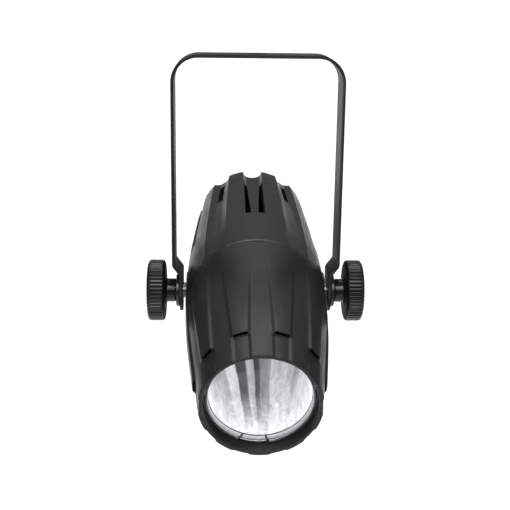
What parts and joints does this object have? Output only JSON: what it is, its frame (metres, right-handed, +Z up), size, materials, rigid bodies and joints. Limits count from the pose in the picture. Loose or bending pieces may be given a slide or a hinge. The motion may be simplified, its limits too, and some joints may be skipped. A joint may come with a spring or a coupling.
{
  "type": "par can light",
  "caption": "Compact barrel spotlight with a recessed lens, tilting in a strip steel yoke held by knurled clamp knobs.",
  "frame": {"origin": "centre of the hanging bolt hole on the top face of the yoke bar", "axes": "+Z up out of the yoke bar, -Y the way the beam leaves, X along the tilt axis"},
  "size_m": [0.1076, 0.188, 0.1671],
  "materials": {
    "black_shell_plastic": "fine moulded texture, satin",
    "black_knob_plastic": "satin",
    "black_gland_plastic": "satin",
    "yoke_paint": "satin powder coat",
    "black_steel": "black oxide",
    "bright_steel": "zinc plated",
    "clip_steel": "blackened spring steel",
    "milky_silicone": "translucent",
    "rubber": "matte",
    "clear_lens": "polished",
    "bright_reflector": "bright specular",
    "aluminium": "mill finish",
    "brass": "machined",
    "white_board": "solder mask",
    "emitter": "phosphor",
    "green_board": "solder mask",
    "winding": "varnished",
    "dark_component": "moulded",
    "green_terminal": "moulded",
    "red_wire": "pvc",
    "black_wire": "pvc"
  },
  "bodies": {
    "yoke": {"yoke_bracket": "yoke_paint"},
    "head": {"front_shell": "black_shell_plastic", "rear_shell": "black_shell_plastic", "rear_cover": "black_shell_plastic", "shell_screw_1": "bright_steel", "shell_screw_2": "bright_steel", "shell_screw_3": "bright_steel", "rear_cover_screw_1": "black_steel", "rear_cover_screw_2": "black_steel", "rear_cover_screw_3": "black_steel", "rear_cover_screw_4": "black_steel", "lens": "clear_lens", "lens_clip": "clip_steel", "lens_gasket": "milky_silicone", "reflector": "bright_reflector", "heat_sink": "aluminium", "heat_sink_screw_1": "bright_steel", "heat_sink_screw_2": "bright_steel", "heat_sink_screw_3": "bright_steel", "led_board": "white_board", "led_screw_1": "bright_steel", "led_screw_2": "bright_steel", "led_screw_3": "bright_steel", "led_emitter": "emitter", "led_wire_red": "red_wire", "led_wire_black": "black_wire", "board_bracket": "aluminium", "bracket_screw_1": "bright_steel", "bracket_screw_2": "bright_steel", "board_standoff_1": "brass", "board_standoff_2": "brass", "board_standoff_3": "brass", "board_standoff_4": "brass", "board_screw_1": "bright_steel", "board_screw_2": "bright_steel", "board_screw_3": "bright_steel", "board_screw_4": "bright_steel", "driver_board": "green_board", "transformer": "winding", "capacitor": "dark_component", "regulator": "dark_component", "terminal_block": "green_terminal", "gland_body": "black_gland_plastic", "gland_cap": "black_gland_plastic", "gland_seal": "rubber", "gland_nut": "black_gland_plastic", "trunnion_insert_left": "brass", "spacer_left": "bright_steel", "trunnion_insert_right": "brass", "spacer_right": "bright_steel"},
    "left_washer": {"washer_left": "black_steel"},
    "left_knob": {"knob_left": "black_knob_plastic", "knob_stud_left": "bright_steel"},
    "right_washer": {"washer_right": "black_steel"},
    "right_knob": {"knob_right": "black_knob_plastic", "knob_stud_right": "bright_steel"}
  },
  "joints": [
    {"name": "head_tilt", "type": "hinge", "parent": "yoke", "child": "head", "pos_m": [0, 0, -0.117], "axis": [1, 0, 0], "range_deg": [-105, 105]},
    {"name": "left_washer_slide", "type": "slide", "parent": "head", "child": "left_washer", "axis": [-1, 0, 0], "range_m": [0, 0.0021]},
    {"name": "left_knob_turn", "type": "hinge", "parent": "left_washer", "child": "left_knob", "pos_m": [-0.04, 0, -0.117], "axis": [-1, 0, 0], "range_deg": [0, 720]},
    {"name": "right_washer_slide", "type": "slide", "parent": "head", "child": "right_washer", "axis": [1, 0, 0], "range_m": [0, 0.0021]},
    {"name": "right_knob_turn", "type": "hinge", "parent": "right_washer", "child": "right_knob", "pos_m": [0.04, 0, -0.117], "axis": [1, 0, 0], "range_deg": [0, 720]}
  ],
  "couplings": [
    {"joint": "left_washer_slide", "follows": "left_knob_turn", "m_per_rad": 0.00015915},
    {"joint": "right_washer_slide", "follows": "right_knob_turn", "m_per_rad": 0.00015915}
  ]
}
